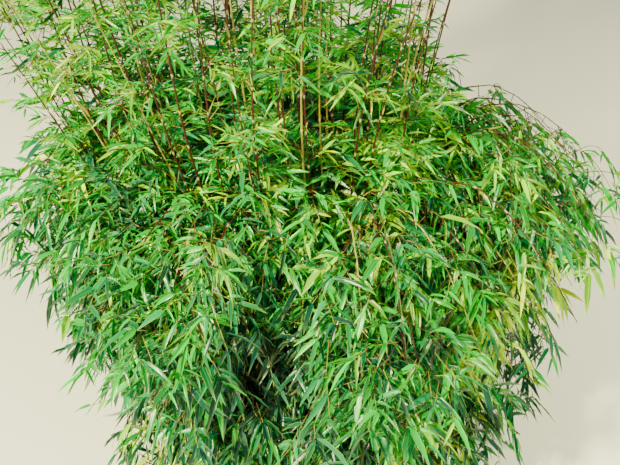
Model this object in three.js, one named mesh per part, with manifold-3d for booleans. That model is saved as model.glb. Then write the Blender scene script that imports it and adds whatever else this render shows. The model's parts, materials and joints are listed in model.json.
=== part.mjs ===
// A clump-forming bamboo in a plain stoneware pot.
//
// Millimetres, +Z up. The origin is the middle of the pot's flat underside, on the ground, and
// -Y is the front. Slender canes rise out of the soil, splay apart and grow on almost upright
// into leafy plumes. Between them, shorter canes arch over the rim all round, and their leafy
// ends hang down past the pot as a skirt.

import * as THREE from 'three';
import * as BufferGeometryUtils from 'three/addons/utils/BufferGeometryUtils.js';
import Module from 'manifold-3d';

const wasm = await Module();
wasm.setup();

// Gap that touching pieces keep, and the shortest edge that a fused piece may have
const SEAT_GAP = 0.3;
const SHORTEST_EDGE = 0.004;

// Pot
const POT_HEIGHT = 370;
const POT_RIM_RADIUS = 280;
const POT_FOOT_RADIUS = 200;
const POT_WALL = 17;
const POT_FLOOR = 24;
const RIM_BAND_HEIGHT = 44;
const RIM_BAND_PROUD = 8;
const POT_SIDES = 40;
const SOIL_BELOW_RIM = 30;

// Tall canes
const TALL_CANES = 13;
const TALL_HEIGHT = 1530;
const TALL_FOOT_SPREAD = 190;
const SPLAY = 215;
const SPLAY_HEIGHT = 230;
const TALL_NOD = 190;
const LEFTWARD_LEAN = 125;
const TALL_WANDER = 70;
const TALL_TURN = 2.3;
const TALL_BARE_SHARE = 0.3;
const CANE_FOOT_RADIUS = 4.2;
const CANE_TIP_RADIUS = 1.4;

// Arching canes: every other one reaches out wide, and those between hang lower, nearer the pot
const ARCHING_CANES = 16;
const ARCH_FOOT_RADIUS = 208;
const WIDE_ARCH = { crest: 335, peak: 860, reach: 640, hang: 385, bare: 0.34 };
const LOW_ARCH = { crest: 330, peak: 650, reach: 500, hang: 175, bare: 0.36 };

// Leafy masses: their leaves are larger than life, because they are fewer
const TWIG_RADIUS = 1.7;
const TWIG_TIP_RADIUS = 1.2;
const TWIG_SINK = 0.6;
const LEAF_LENGTH = 188;
const LEAF_WIDTH = 45;
const LEAF_THICKNESS = 3.4;
const LEAF_ARCH = 0.07;
const LEAF_SINK = 3;
const LEAF_STEP = 0.18;
const LEAF_SPREAD = 0.75;
const LEAF_SAG = 0.25;
const LEAF_CLEARANCE = 0.5;
const PLUME_TWIG = { spacing: 145, length: 165, rise: 0.55, droop: 0.5, leaves: 4 };
const SKIRT_TWIG = { spacing: 54, length: 165, rise: 0.22, droop: 0.5, leaves: 5 };
const TWIG_TRIES = [1, 0.72, 0.5];
const TWIG_LEAN = 0.45;
const STEM_STEP = 110;
const CANE_STEP = 55;
const LOWEST_LEAF = 62;
const SPACE_SHARE = 0.48;
const STEM_POINTS = 24;

const GOLDEN_ANGLE = Math.PI * (3 - Math.sqrt(5));
const UP = new THREE.Vector3(0, 0, 1);
const STEM_SIDE = new THREE.Vector3(0, 1, 0.2);
const SOIL_TOP = POT_HEIGHT - SOIL_BELOW_RIM;
const CANE_FOOT = SOIL_TOP + SEAT_GAP;

const POT_GREY = new THREE.MeshStandardMaterial({ color: 0x4a4643, roughness: 0.7, metalness: 0 });
const SOIL_BROWN = new THREE.MeshStandardMaterial({ color: 0x36271c, roughness: 1, metalness: 0 });
const CANE_COLOURS = [0x8d4a3a, 0xb79a54, 0x6f6a35, 0x9a5b40];
const LEAF_COLOURS = [0x3f8f2f, 0x4ea336, 0x63b03c, 0x357f2c, 0x86bf45];

// Scattered number from 0 to 1 that is always the same for the same two whole numbers
function chance(a, b) {
  const wave = Math.sin(a * 127.1 + b * 311.7) * 43758.5453;
  return wave - Math.floor(wave);
}

function around(azimuth, radius, height) {
  return new THREE.Vector3(radius * Math.cos(azimuth), radius * Math.sin(azimuth), height);
}

// A cane that splays out of the soil and a little to the left, turns upright and nods at its tip
class TallCane extends THREE.Curve {
  constructor(index) {
    super();
    this.share = Math.sqrt((index + 0.5) / TALL_CANES);
    this.azimuth = index * GOLDEN_ANGLE + TALL_TURN;
    this.height = TALL_HEIGHT * (1 - 0.2 * this.share ** 2 - 0.1 * chance(index, 1));
    this.wander = around(2 * Math.PI * chance(index, 2), TALL_WANDER, 0);
  }

  getPoint(t, target = new THREE.Vector3()) {
    const rise = t * this.height;
    const splayed = 1 - Math.exp(-rise / SPLAY_HEIGHT);
    const out = this.share * (TALL_FOOT_SPREAD + SPLAY * splayed + TALL_NOD * t ** 3);
    target.copy(around(this.azimuth, out, CANE_FOOT + rise)).addScaledVector(this.wander, t * t);
    target.x -= LEFTWARD_LEAN * splayed;
    return target;
  }
}

// A cane that climbs out over the rim and hangs beyond it
class ArchingCane extends THREE.Curve {
  constructor(index) {
    super();
    this.arch = index % 2 ? LOW_ARCH : WIDE_ARCH;
    this.azimuth = ((index + 0.5 + 0.3 * (chance(index, 3) - 0.5)) / ARCHING_CANES) * 2 * Math.PI;
    this.size = 0.96 + 0.08 * chance(index, 4);
    this.turn = 0.25 * (chance(index, 5) - 0.5);
  }

  getPoint(t, target = new THREE.Vector3()) {
    const { crest, peak, reach, hang } = this.arch;
    const start = (1 - t) ** 2;
    const middle = 2 * t * (1 - t);
    const end = t * t;
    const out = start * ARCH_FOOT_RADIUS + (middle * crest + end * reach) * this.size;
    const height = start * CANE_FOOT + middle * peak + end * hang;
    return target.copy(around(this.azimuth + this.turn * t * t, out, height));
  }
}

// The stretch of a cane between two shares of its length
class Stretch extends THREE.Curve {
  constructor(cane, from, to) {
    super();
    this.cane = cane;
    this.from = from;
    this.to = to;
  }

  getPoint(t, target) {
    return this.cane.getPoint(this.from + (this.to - this.from) * t, target);
  }
}

// A twig that sets off along one direction and sags under its leaves
class Twig extends THREE.Curve {
  constructor(root, direction, length, droop) {
    super();
    this.root = root;
    this.direction = direction;
    this.length = length;
    this.droop = droop;
  }

  getPoint(t, target = new THREE.Vector3()) {
    target.copy(this.root).addScaledVector(this.direction, this.length * t);
    target.z -= this.droop * this.length * t * t;
    return target;
  }
}

// Closed round bar along a curve, thinning evenly. Its section turns with the curve; with a
// level foot, the first ring lies flat.
function taperedBar(curve, footRadius, tipRadius, sides, steps, levelFoot = false) {
  const bar = new THREE.CylinderGeometry(1, 1, 1, sides, steps);
  const { normals, binormals } = curve.computeFrenetFrames(steps, false);
  const position = bar.getAttribute('position');
  const vertex = new THREE.Vector3();
  for (let i = 0; i < position.count; i += 1) {
    vertex.fromBufferAttribute(position, i);
    const ring = Math.round((vertex.y + 0.5) * steps);
    const radius = THREE.MathUtils.lerp(footRadius, tipRadius, ring / steps);
    const offset = new THREE.Vector3()
      .addScaledVector(normals[ring], vertex.z * radius)
      .addScaledVector(binormals[ring], vertex.x * radius);
    if (levelFoot && ring === 0) offset.z = 0;
    offset.add(curve.getPointAt(ring / steps));
    position.setXYZ(i, offset.x, offset.y, offset.z);
  }
  return bar;
}

// Leaf of unit length along +X: a slim eight-faced blade, widest nearer its root, arched and
// a little folded along its rib
function leafPattern() {
  const leaf = new THREE.OctahedronGeometry(1, 0);
  const position = leaf.getAttribute('position');
  const width = LEAF_WIDTH / LEAF_LENGTH / 2;
  const thickness = LEAF_THICKNESS / LEAF_LENGTH / 2;
  for (let i = 0; i < position.count; i += 1) {
    const [x, y, z] = [position.getX(i), position.getY(i), position.getZ(i)];
    if (Math.abs(x) > 0.5) position.setXYZ(i, x > 0 ? 1 : 0, 0, 0);
    else if (Math.abs(y) > 0.5) position.setXYZ(i, 0.42, y * width, LEAF_ARCH * 1.3);
    else position.setXYZ(i, 0.32, 0, LEAF_ARCH + z * thickness);
  }
  return leaf;
}

const LEAF_PATTERN = leafPattern();

function leafShape(root, along, length, roll) {
  const side = new THREE.Vector3().crossVectors(UP, along).normalize().applyAxisAngle(along, roll);
  const up = new THREE.Vector3().crossVectors(along, side);
  const place = new THREE.Matrix4().makeBasis(along, side, up);
  place.scale(new THREE.Vector3(length, length, length));
  place.setPosition(root.clone().addScaledVector(along, -LEAF_SINK));
  return LEAF_PATTERN.clone().applyMatrix4(place);
}

function toSolid(shape) {
  const bare = shape.clone();
  bare.deleteAttribute('normal');
  bare.deleteAttribute('uv');
  const merged = BufferGeometryUtils.mergeVertices(bare, 1e-3);
  const vertProperties = new Float32Array(merged.getAttribute('position').array);
  const triVerts = new Uint32Array(merged.getIndex().array);
  return new wasm.Manifold(new wasm.Mesh({ numProp: 3, vertProperties, triVerts }));
}

function toGeometry(solid) {
  const { vertProperties, triVerts } = solid.getMesh();
  const geometry = new THREE.BufferGeometry();
  geometry.setAttribute('position', new THREE.BufferAttribute(vertProperties, 3));
  geometry.setIndex(new THREE.BufferAttribute(triVerts, 1));
  geometry.computeVertexNormals();
  return geometry;
}

function shortestEdge(solid) {
  const { vertProperties, triVerts } = solid.getMesh();
  const corner = (i) => new THREE.Vector3().fromArray(vertProperties, 3 * triVerts[i]);
  let shortest = Infinity;
  for (let i = 0; i < triVerts.length; i += 1) {
    const next = i % 3 === 2 ? i - 2 : i + 1;
    shortest = Math.min(shortest, corner(i).distanceTo(corner(next)));
  }
  return shortest;
}

// One body out of many. A piece whose join would leave a hair-fine edge is left out, sealed
// hollows are filled and loose scrap is dropped.
function fuse(pieces) {
  const whole = pieces.reduce((sum, piece) => {
    const joined = sum.add(piece);
    return shortestEdge(joined) > SHORTEST_EDGE ? joined : sum;
  });
  return whole.decompose().reduce((best, part) => (part.volume() > best.volume() ? part : best));
}

function potRadiusAt(height) {
  return THREE.MathUtils.lerp(POT_FOOT_RADIUS, POT_RIM_RADIUS, height / POT_HEIGHT);
}

function potShape() {
  const outline = [
    [0, 0],
    [POT_FOOT_RADIUS - 6, 0],
    [POT_FOOT_RADIUS, 6],
    [potRadiusAt(POT_HEIGHT - RIM_BAND_HEIGHT), POT_HEIGHT - RIM_BAND_HEIGHT],
    [potRadiusAt(POT_HEIGHT - RIM_BAND_HEIGHT) + RIM_BAND_PROUD, POT_HEIGHT - RIM_BAND_HEIGHT + 5],
    [POT_RIM_RADIUS + RIM_BAND_PROUD, POT_HEIGHT - 6],
    [POT_RIM_RADIUS + RIM_BAND_PROUD - 6, POT_HEIGHT],
    [POT_RIM_RADIUS - POT_WALL + 5, POT_HEIGHT],
    [POT_RIM_RADIUS - POT_WALL, POT_HEIGHT - 5],
    [potRadiusAt(POT_FLOOR) - POT_WALL, POT_FLOOR],
    [0, POT_FLOOR],
  ];
  const profile = outline.map(([radius, height]) => new THREE.Vector2(radius, height));
  return new THREE.LatheGeometry(profile, POT_SIDES).rotateX(Math.PI / 2);
}

function soilShape() {
  const inside = (height) => potRadiusAt(height) - POT_WALL - 2.5 * SEAT_GAP;
  const bottom = POT_FLOOR + SEAT_GAP;
  const profile = [
    new THREE.Vector2(0, bottom),
    new THREE.Vector2(inside(bottom), bottom),
    new THREE.Vector2(inside(SOIL_TOP), SOIL_TOP),
    new THREE.Vector2(0, SOIL_TOP),
  ];
  return new THREE.LatheGeometry(profile, POT_SIDES).rotateX(Math.PI / 2);
}

// Every stem that carries a mass of leaves, as points along it, to tell whose space a point is in
const stems = [];

function distanceToStem(point, stem) {
  return stem.reduce((least, place) => Math.min(least, point.distanceTo(place)), Infinity);
}

// A point is in a mass's own space when no other mass's stem is much nearer than its own, and it
// is neither in the pot nor down by the ground
function inOwnSpace(point, owner) {
  if (point.z < LOWEST_LEAF) return false;
  const fromAxis = Math.hypot(point.x, point.y);
  if (point.z < POT_HEIGHT + 8 && fromAxis < POT_RIM_RADIUS + RIM_BAND_PROUD + 6) return false;
  const own = distanceToStem(point, stems[owner]);
  return stems.every((stem, i) => i === owner || distanceToStem(point, stem) > own * SPACE_SHARE);
}

// Every solid that stands already, with its box, for later pieces to keep clear of
const standing = [];

function boxOf(solid) {
  const { min, max } = solid.boundingBox();
  return new THREE.Box3(new THREE.Vector3(...min), new THREE.Vector3(...max));
}

function stand(solid, owner) {
  standing.push({ solid, box: boxOf(solid), owner });
}

function isClear(solid, owner) {
  const box = boxOf(solid).expandByScalar(LEAF_CLEARANCE);
  return standing.every((other) => other.owner === owner
    || !box.intersectsBox(other.box)
    || solid.minGap(other.solid, 2 * LEAF_CLEARANCE) > LEAF_CLEARANCE);
}

// Leaves in two rows back from a twig's end, with the first one almost straight on. One that
// would leave its mass's space or touch something is skipped.
function leavesOf(twig, count, seed, owner) {
  const pieces = [];
  for (let i = 0; i < count; i += 1) {
    const t = 0.985 - LEAF_STEP * i;
    const root = twig.getPointAt(t);
    const along = twig.getTangentAt(t);
    const across = new THREE.Vector3().crossVectors(along, UP).normalize();
    const side = i % 2 ? LEAF_SPREAD : -LEAF_SPREAD;
    const row = i === 0 ? 0.35 * (chance(seed, 20) - 0.5) : side;
    const direction = along.clone().addScaledVector(across, row);
    direction.z -= LEAF_SAG + 0.35 * chance(seed, 21 + i);
    direction.normalize();
    const length = LEAF_LENGTH * (0.84 + 0.3 * chance(seed, 31 + i));
    const roll = 0.9 * (chance(seed, 41 + i) - 0.5);
    const leaf = toSolid(leafShape(root, direction, length, roll));
    const blade = [0.35, 0.7, 1].map((share) => root.clone().addScaledVector(direction, share * length));
    if (blade.every((point) => inOwnSpace(point, owner)) && isClear(leaf, owner)) pieces.push(leaf);
  }
  return pieces;
}

// A stem with twigs that leave it node by node, each a golden angle round from the last, and
// their leaves. A twig with no room for two leaves is tried shorter, and then skipped. The
// stem's own end carries leaves too.
function leafyMass(stem, footRadius, style, owner) {
  const steps = Math.round(stem.getLength() / STEM_STEP);
  const pieces = [toSolid(taperedBar(stem, footRadius, CANE_TIP_RADIUS, 4, steps))];
  const nodes = Math.floor(stem.getLength() / style.spacing);
  for (let node = 0; node < nodes; node += 1) {
    const t = (node + 0.5) / nodes;
    const seed = 100 * (owner + 1) + node;
    const tangent = stem.getTangentAt(t);
    const direction = new THREE.Vector3().crossVectors(tangent, STEM_SIDE).normalize();
    direction.applyAxisAngle(tangent, node * GOLDEN_ANGLE + owner).addScaledVector(tangent, TWIG_LEAN);
    direction.z += style.rise;
    direction.normalize();
    const length = style.length * (0.7 + 0.45 * Math.sin(Math.PI * t)) * (0.8 + 0.4 * chance(seed, 10));
    const root = stem.getPointAt(t).addScaledVector(direction, -TWIG_SINK);
    for (const share of TWIG_TRIES) {
      const twig = new Twig(root, direction, length * share, style.droop);
      const bar = toSolid(taperedBar(twig, TWIG_RADIUS, TWIG_TIP_RADIUS, 3, 2));
      const inside = [0.6, 1].every((along) => inOwnSpace(twig.getPoint(along), owner));
      const fits = inside && isClear(bar, owner);
      const leaves = fits ? leavesOf(twig, style.leaves, seed, owner) : [];
      if (leaves.length > 1) {
        pieces.push(bar, ...leaves);
        break;
      }
    }
  }
  pieces.push(...leavesOf(stem, 3, 100 * (owner + 1) + 99, owner));
  return pieces;
}

const plant = new THREE.Group();

function addMesh(name, geometry, material, parent = plant) {
  const mesh = new THREE.Mesh(geometry, material);
  mesh.name = name;
  parent.add(mesh);
}

function paint(colours, index, roughness) {
  const color = colours[index % colours.length];
  return new THREE.MeshStandardMaterial({ color, roughness, metalness: 0 });
}

addMesh('pot', potShape(), POT_GREY);
addMesh('soil', soilShape(), SOIL_BROWN);

// Each cane is bare up to where it enters its mass of leaves, whose stem carries it on
const canes = [];
for (let i = 0; i < TALL_CANES; i += 1) {
  canes.push({ name: `tall_${i + 1}`, line: new TallCane(i), bare: TALL_BARE_SHARE, style: PLUME_TWIG });
}
for (let i = 0; i < ARCHING_CANES; i += 1) {
  const line = new ArchingCane(i);
  canes.push({ name: `arching_${i + 1}`, line, bare: line.arch.bare, style: SKIRT_TWIG });
}

for (const cane of canes) {
  cane.bareLine = new Stretch(cane.line, 0, cane.bare);
  const gap = SEAT_GAP / cane.line.getLength();
  cane.leafyLine = new Stretch(cane.line, cane.bare + gap, 1);
  cane.joint = THREE.MathUtils.lerp(CANE_FOOT_RADIUS, CANE_TIP_RADIUS, cane.bare);
  stems.push(cane.leafyLine.getSpacedPoints(STEM_POINTS));
}

canes.forEach((cane, index) => {
  const steps = Math.round(cane.bareLine.getLength() / CANE_STEP);
  const bar = taperedBar(cane.bareLine, CANE_FOOT_RADIUS, cane.joint, 6, steps, true);
  stand(toSolid(bar), -1);
  addMesh(`cane_${cane.name}`, bar, paint(CANE_COLOURS, index, 0.55));
});

canes.forEach((cane, index) => {
  const pieces = leafyMass(cane.leafyLine, cane.joint, cane.style, index);
  const mass = fuse(pieces);
  stand(mass, index);
  addMesh(`leaves_${cane.name}`, toGeometry(mass), paint(LEAF_COLOURS, index, 0.5));
});

export default plant;
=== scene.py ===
# %% [markdown]
# # A potted bamboo, grown by rule
# A clump-forming bamboo is one plant of many fine canes. Tall ones rise out of the pot, and shorter
# ones arch over its rim and hang down as a skirt. The frame's solids have that build and a few
# large leaves. This lesson grows the plant again by the same rule, within the same reach, and
# carries it on to fine twigs and real leaves. The frame comes first: every piece rides on it.

# %% Open the frame
import json
import math

import bpy
import numpy as np
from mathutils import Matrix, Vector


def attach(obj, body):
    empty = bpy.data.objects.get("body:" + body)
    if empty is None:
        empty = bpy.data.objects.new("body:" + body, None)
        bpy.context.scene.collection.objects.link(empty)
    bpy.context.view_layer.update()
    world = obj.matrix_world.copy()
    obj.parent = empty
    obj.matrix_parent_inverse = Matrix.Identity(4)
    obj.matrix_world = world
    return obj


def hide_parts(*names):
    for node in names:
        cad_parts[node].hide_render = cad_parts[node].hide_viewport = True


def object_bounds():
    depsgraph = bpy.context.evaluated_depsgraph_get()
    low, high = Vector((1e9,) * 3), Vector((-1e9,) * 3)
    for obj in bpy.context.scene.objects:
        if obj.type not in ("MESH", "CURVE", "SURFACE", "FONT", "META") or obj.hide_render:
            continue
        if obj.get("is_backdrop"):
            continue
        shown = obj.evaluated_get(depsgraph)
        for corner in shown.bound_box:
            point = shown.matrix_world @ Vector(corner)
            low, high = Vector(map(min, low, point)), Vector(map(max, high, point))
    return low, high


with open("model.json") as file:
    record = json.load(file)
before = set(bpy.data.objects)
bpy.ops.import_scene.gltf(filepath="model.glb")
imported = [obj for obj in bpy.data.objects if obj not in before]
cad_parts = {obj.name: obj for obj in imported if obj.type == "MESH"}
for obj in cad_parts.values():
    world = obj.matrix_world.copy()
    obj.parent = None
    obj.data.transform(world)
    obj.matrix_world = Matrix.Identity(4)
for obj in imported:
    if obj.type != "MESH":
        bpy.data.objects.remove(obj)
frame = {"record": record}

cad_low, cad_high = (np.array(corner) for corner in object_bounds())
print("box of the solids:", cad_low.round(3), cad_high.round(3))

# %% [markdown]
# ## The rule's own sizes
# The real plant's canes differ, yet all follow one habit, so their sizes are few. They are the
# solids' own, in metres, and are written here again because no mesh tells them.

# %% Sizes of pot and canes
POT_HEIGHT = 0.37
RIM_RADIUS = 0.28
FOOT_RADIUS = 0.2
POT_WALL = 0.017
BAND_HEIGHT = 0.044
BAND_PROUD = 0.008
SOIL_TOP = POT_HEIGHT - 0.03

TALL_CANES = 13
TALL_HEIGHT = 1.53
OUTER_SHORTER = 0.2
TALL_VARIES = 0.1
TALL_FOOT_SPREAD = 0.19
SPLAY = 0.215
SPLAY_HEIGHT = 0.23
TALL_NOD = 0.19
LEFTWARD_LEAN = 0.125
TALL_WANDER = 0.07
TALL_TURN = 2.3

ARCHING_CANES = 16
ARCH_FOOT_RADIUS = 0.208
WIDE_ARCH = np.array([0.335, 0.86, 0.64, 0.385])  # crest, peak, reach and hang
LOW_ARCH = np.array([0.33, 0.65, 0.5, 0.175])
ARCH_STRAY = 0.3
ARCH_DRIFT = 0.25

CANE_FOOT_RADIUS = 0.0042
CANE_TIP_RADIUS = 0.0014
GOLDEN_ANGLE = math.pi * (3 - math.sqrt(5))
UP = np.array([0.0, 0.0, 1.0])

# %% [markdown]
# ## Chance that never changes
# No two twigs are alike, but the plant must be the same each time it is grown. A random generator
# would give other numbers as soon as one twig is added. A scattered number worked out from a
# twig's own number stays with it, and it works on whole arrays. Each choice has a draw number of
# its own, so that no two go together.

# %% Chance
SEED_PITCH = 127.1
DRAW_PITCH = 311.7
WAVE_HEIGHT = 43758.5453


def chance(seed, draw):
    """From 0 to 1: what is left over whole numbers in height x sin(pitch seed + pitch draw)."""
    wave = np.sin(np.asarray(seed) * SEED_PITCH + draw * DRAW_PITCH) * WAVE_HEIGHT
    return wave - np.floor(wave)


def varied(least, spread, seed, draw):
    """The least value plus a chance part of the spread."""
    return least + spread * chance(seed, draw)


def astray(spread, seed, draw):
    """A chance value within the spread, as often below 0 as above it."""
    return spread * (chance(seed, draw) - 0.5)


# %% Vectors
def unit(vectors):
    """Each vector divided by its own length."""
    return vectors / np.linalg.norm(vectors, axis=-1, keepdims=True)


def around(azimuth, radius, height):
    """Points on a circle: radius times cosine, radius times sine, and the height."""
    parts = np.broadcast_arrays(radius * np.cos(azimuth), radius * np.sin(azimuth), height)
    return np.stack(parts, axis=-1).astype(float)


def off_axis(points):
    """How far each point is from the pot's axis."""
    return np.hypot(points[..., 0], points[..., 1])


# %% [markdown]
# ## The lines of the canes
# A tall cane splays out of the soil, turns upright and nods at its tip. An arching cane is a
# quadratic curve that climbs out over the rim and hangs beyond it. Both are closed formulas of
# the share t along the cane and of its place in the clump, so any number of points costs nothing.
# Nodes stand at even steps of the length, so a walk measures a line once and reads points and
# directions off it.

# %% Lines of tall and arching canes
LINE_SHARES = np.linspace(0, 1, 90)


def tall_line(share, azimuth, seed, tallness=1.0):
    """Out from the middle: share x (foot spread + splay x (1 - e^(-rise/230 mm)) + nod x t^3).
    Up: t x height. It leans left as it splays, and wanders sideways with t squared."""
    t = LINE_SHARES
    height = TALL_HEIGHT * (1 - OUTER_SHORTER * share**2 - TALL_VARIES * chance(seed, 1)) * tallness
    splayed = 1 - np.exp(-t * height / SPLAY_HEIGHT)
    out = share * (TALL_FOOT_SPREAD + SPLAY * splayed + TALL_NOD * t**3)
    line = around(azimuth, out, SOIL_TOP + t * height)
    line += around(2 * math.pi * chance(seed, 2), TALL_WANDER, 0) * t[:, None] ** 2
    line[:, 0] -= LEFTWARD_LEAN * splayed
    return line


def arching_line(wide, azimuth, seed):
    """Quadratic curve from the foot over the crest to the hanging tip; wide mixes the two arches.
    The azimuth drifts with t squared."""
    t = LINE_SHARES
    crest, peak, reach, hang = LOW_ARCH + (WIDE_ARCH - LOW_ARCH) * wide
    start = (1 - t) ** 2
    middle = 2 * t * (1 - t)
    end = t**2
    size = varied(0.96, 0.08, seed, 4)
    out = start * ARCH_FOOT_RADIUS + (middle * crest + end * reach) * size
    height = start * SOIL_TOP + middle * peak + end * hang
    return around(azimuth + astray(ARCH_DRIFT, seed, 5) * end, out, height)


# %% Walk along a line
TANGENT_STEP = 0.004


def step_lengths(line):
    """The lengths of a line's steps."""
    return np.linalg.norm(np.diff(line, axis=0), axis=1)


def walk(line, shares):
    """Points and unit tangents at shares of a line's running length."""
    run = np.concatenate([[0], np.cumsum(step_lengths(line))])
    at = np.asarray(shares) * run[-1]
    spots = [np.stack([np.interp(at + step, run, line[:, k]) for k in range(3)], axis=-1)
             for step in (-TANGENT_STEP, 0, TANGENT_STEP)]
    return spots[1], unit(spots[2] - spots[0])


# %% [markdown]
# ## Who stands in the clump
# The solids have 29 canes: 13 tall ones, spread over the soil like the seeds of a sunflower, and
# 16 arching ones in a ring, wide and low by turns. They keep their places here.

# %% The solids' own canes
OWN_THICKNESS = 0.6
CANE_CYCLE = ("red", "gold", "olive", "red")

canes = []


def add_cane(kind, line, colour, thickness, owner=None):
    """Notes one cane, and the solid that it has, if any."""
    canes.append({"kind": kind, "line": line, "colour": colour, "thickness": thickness, "owner": owner})


for i in range(TALL_CANES):
    line = tall_line(math.sqrt((i + 0.5) / TALL_CANES), i * GOLDEN_ANGLE + TALL_TURN, i)
    add_cane("tall", line, CANE_CYCLE[i % 4], OWN_THICKNESS, f"tall_{i + 1}")
for i in range(ARCHING_CANES):
    azimuth = (i + 0.5 + astray(ARCH_STRAY, i, 3)) / ARCHING_CANES * 2 * math.pi
    line = arching_line(1 - i % 2, azimuth, i)
    add_cane("arching", line, CANE_CYCLE[(i + TALL_CANES) % 4], OWN_THICKNESS, f"arching_{i + 1}")

# %% [markdown]
# ## Thinner tall canes
# A real clump has far more canes, most of them thinner. They follow the same rule from places
# between. The photograph also shows a bundle of bare canes at the right, a smaller one at the left
# and a loose row across the front.

# %% Tall canes between, in bundles and in the front row
TALL_BETWEEN = 42
BETWEEN_TURN = 0.6
RIGHT_BUNDLE = 9
RIGHT_STEP = 0.12
RIGHT_CYCLE = ("red", "gold", "olive", "red", "red", "red")
LEFT_BUNDLE = 6
LEFT_STEP = 0.16
DUE_PLACE = 1.5
FRONT_ROW = 14
FRONT_SWEEP = 2.2
FRONT = -math.pi / 2

for i in range(TALL_BETWEEN):
    share = math.sqrt((i + 0.5) / TALL_BETWEEN)
    colour = "gold" if i % 7 == 3 else "olive" if i % 5 == 2 else "red"
    line = tall_line(share, i * GOLDEN_ANGLE + BETWEEN_TURN, 200 + i, varied(0.7, 0.3, i, 17))
    add_cane("tall", line, colour, varied(0.45, 0.25, i, 6))
for i in range(RIGHT_BUNDLE):
    azimuth = RIGHT_STEP * (i - RIGHT_BUNDLE / 2)
    line = tall_line(varied(0.72, 0.26, i, 8), azimuth, 270 + i, tallness=0.93)
    add_cane("tall", line, RIGHT_CYCLE[i % 6], varied(0.45, 0.3, i, 9))
for i in range(LEFT_BUNDLE):
    azimuth = math.pi + LEFT_STEP * (i - DUE_PLACE)
    line = tall_line(varied(0.98, 0.13, i, 8), azimuth, 280 + i, varied(0.7, 0.2, i, 17))
    add_cane("tall", line, "red", varied(0.45, 0.2, i, 9))
for i in range(FRONT_ROW):
    azimuth = FRONT + FRONT_SWEEP * ((i + chance(i, 8)) / FRONT_ROW - 0.5)
    line = tall_line(varied(0.8, 0.22, i, 9), azimuth, 400 + i, varied(0.7, 0.3, i, 17))
    add_cane("tall", line, "gold" if i % 7 == 3 else "red", varied(0.42, 0.2, i, 6))

# %% [markdown]
# ## Thinner arching canes
# These fill the skirt all round, but for a narrow gap at the front, and stay low at the back
# right. Two groups make its falls: a steep one in front, which hides the pot, and a wide one that
# carries the skirt far out to the right.

# %% Arching canes between and in the falls
ARCHING_BETWEEN = 60
ARCHING_TURN = 1.1
FRONT_GAP = 0.1
BACK_RIGHT = 0.5
BACK_RIGHT_COSINE = 0.75
BACK_RIGHT_WIDTH = 0.35
FRONT_FALL = 18
FALL_SWEEP = 1.5
FALL_WIDEST = 1.15
RIGHT_FALL = 5
RIGHT_FALL_STEP = 0.14

for i in range(ARCHING_BETWEEN):
    azimuth = i * GOLDEN_ANGLE + ARCHING_TURN
    off_front = (azimuth - FRONT + math.pi) % (2 * math.pi) - math.pi
    azimuth += math.copysign(max(0, FRONT_GAP - abs(off_front)), off_front)
    width = BACK_RIGHT_WIDTH if math.cos(azimuth - BACK_RIGHT) > BACK_RIGHT_COSINE else 1.0
    line = arching_line(width * chance(i, 7), azimuth, 300 + i)
    add_cane("arching", line, CANE_CYCLE[i % 4], varied(0.45, 0.25, i, 6))
for i in range(FRONT_FALL):
    azimuth = FRONT + FALL_SWEEP * ((i + 0.5) / FRONT_FALL - 0.5)
    wide = FALL_WIDEST if i % 10 == 3 else varied(-0.35, 0.7, i, 18)
    line = arching_line(wide, azimuth, 500 + i)
    add_cane("arching", line, "olive", varied(0.45, 0.2, i, 6))
for i in range(RIGHT_FALL):
    line = arching_line(1.3, RIGHT_FALL_STEP * (i - DUE_PLACE), 520 + i)
    add_cane("arching", line, "red", thickness=0.5)
print("canes:", len(canes))

# %% [markdown]
# ## Shoots on shoots
# Branches leave a cane at its nodes, each a golden angle round from the last. Twigs leave a branch
# in two rows, as leaves leave a twig. Each is the same thing one size down: it sets off along a
# direction and sags with the square of the way. So one table of arrays holds any kind of shoot,
# and one function gives its points.

# %% Table of shoots
def shoot_points(shoots, t):
    """Root + direction x length x t, less droop x length x t squared in height."""
    reach = (shoots["length"][:, None] * t)[..., None]
    sag = shoots["droop"][:, None] * shoots["length"][:, None] * t**2
    return shoots["root"][:, None] + shoots["direction"][:, None] * reach - sag[..., None] * UP


def shoot_tangents(shoots, t):
    """Direction less 2 x droop x t in height, at unit length."""
    sag = 2 * shoots["droop"][:, None] * t
    return unit(shoots["direction"][:, None] - sag[..., None] * UP)


def shoot_ends(shoots):
    """The point at each shoot's tip."""
    return shoot_points(shoots, np.array([1.0]))[:, 0]


def chosen(shoots, mask):
    """The shoots that the mask keeps."""
    return {key: values[mask] for key, values in shoots.items()}


def gathered(tables):
    """Several tables of shoots as one."""
    return {key: np.concatenate([table[key] for table in tables]) for key in tables[0]}


# %% [markdown]
# ## Where nothing may grow
# The plant's reach is that of its solids, so a twig or leaf that would leave their box is skipped.
# So is one that would lie on the ground or grow through the pot.

# %% Room for a shoot
LOWEST_LEAF = 0.045
POT_CLEARANCE = 0.016
RIM_CLEARANCE = 0.01


def radius_at(height):
    """The pot's outer radius at a height: from the foot's to the rim's in a straight line."""
    return FOOT_RADIUS + (RIM_RADIUS - FOOT_RADIUS) * height / POT_HEIGHT


def has_room(points):
    """True for each point in the solids' box, above the ground and outside the pot."""
    height = points[..., 2]
    inside = np.all((points > cad_low) & (points < cad_high), axis=-1)
    near_pot = off_axis(points) < radius_at(height) + POT_CLEARANCE
    in_pot = near_pot & (height < POT_HEIGHT + RIM_CLEARANCE)
    return inside & (height > LOWEST_LEAF) & ~in_pot


# %% [markdown]
# ## The top of the skirt
# The skirt is a heap that rises to the back and to its middle, and slopes down to a low shoulder
# at the right. The tall canes stand out of it nearly bare. A height for each place says where the
# heap ends, and only hanging shoots are held under it.

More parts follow.
